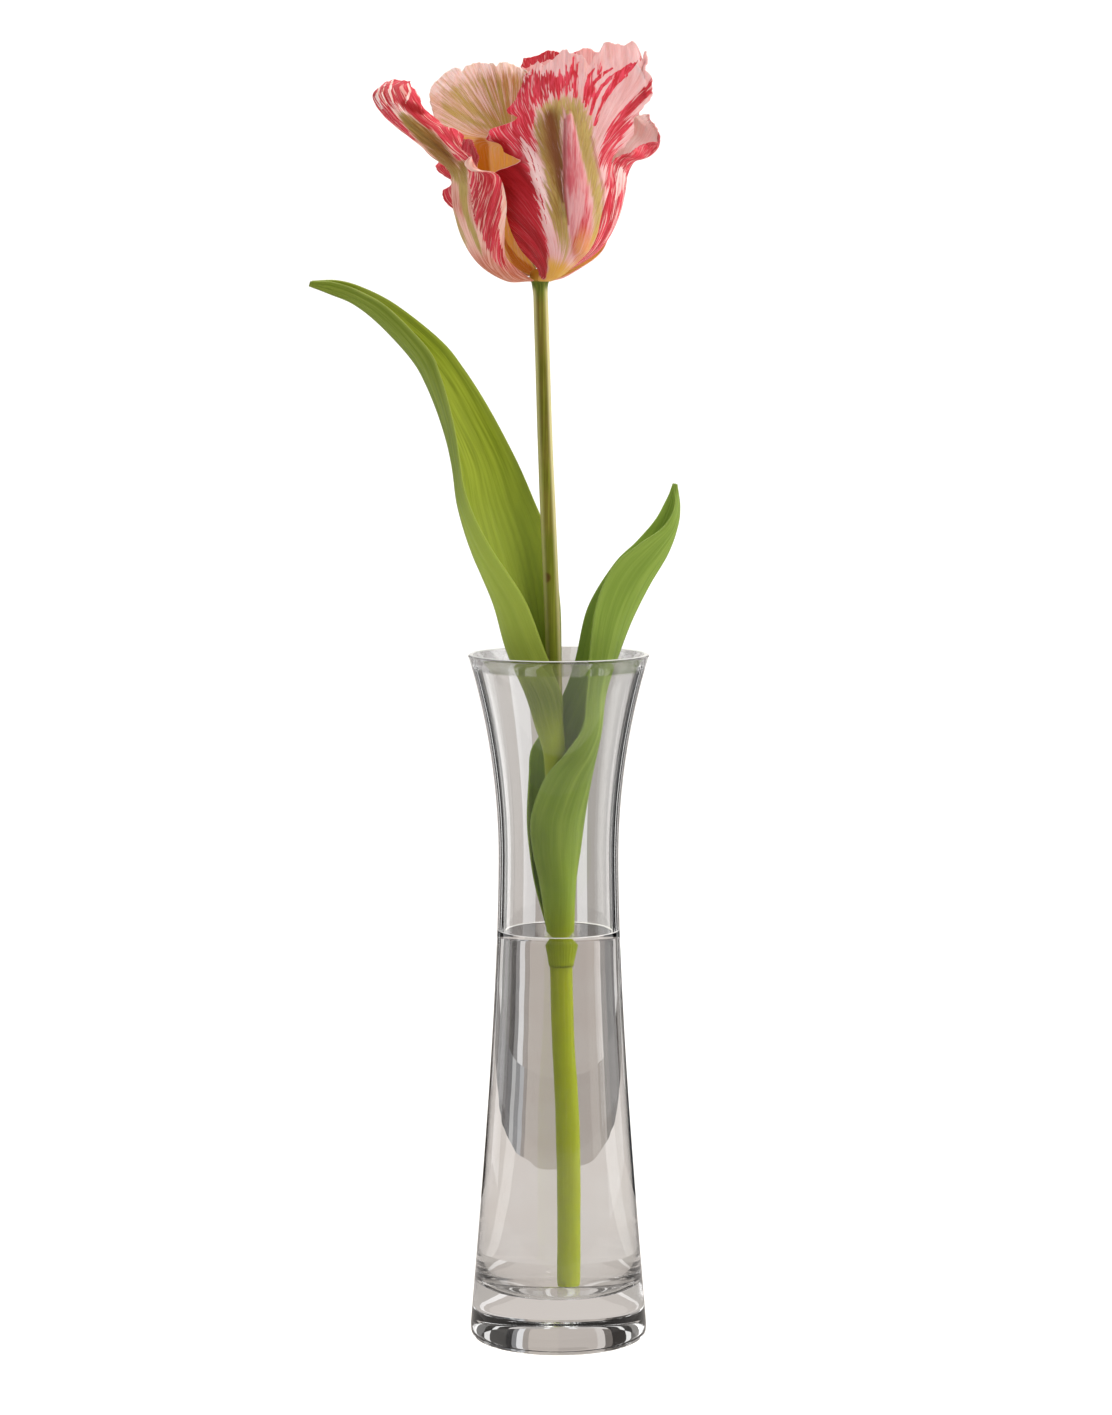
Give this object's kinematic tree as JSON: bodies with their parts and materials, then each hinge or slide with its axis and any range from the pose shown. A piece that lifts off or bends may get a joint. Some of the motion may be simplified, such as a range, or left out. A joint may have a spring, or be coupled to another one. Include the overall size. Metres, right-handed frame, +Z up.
{
  "type": "fringed parrot tulip in a glass vase",
  "caption": "Cut tulip with ruffled, toothed and flamed petals and clasping leaves, standing in a slim waisted glass vase with water.",
  "frame": {"origin": "centre of the vase's flat foot, on the surface it stands on", "axes": "+Z up along the vase, -Y towards the flower's front, +X to the viewer's right"},
  "size_m": [0.1324, 0.0725, 0.4662],
  "materials": {
    "clear_glass": "blown clear glass, polished",
    "water": "still clear water",
    "stem_green": "waxy green flower stem",
    "leaf_green": "waxy green leaf with parallel veins",
    "petal_flamed": "crimson, pink and green flamed petal, satin",
    "petal_blush": "pale pink flamed petal, satin",
    "pistil_green": "yellow-green pistil with dark anthers, matt"
  },
  "bodies": {
    "root": {"vase": "clear_glass", "water": "water", "stem": "stem_green", "leaf_upper": "leaf_green", "leaf_lower": "leaf_green", "tepal_outer_front": "petal_flamed", "tepal_outer_left": "petal_flamed", "tepal_outer_back": "petal_flamed", "tepal_inner_right": "petal_blush", "tepal_inner_back": "petal_blush", "tepal_inner_left": "petal_blush", "pistil_and_stamens": "pistil_green"}
  },
  "joints": []
}
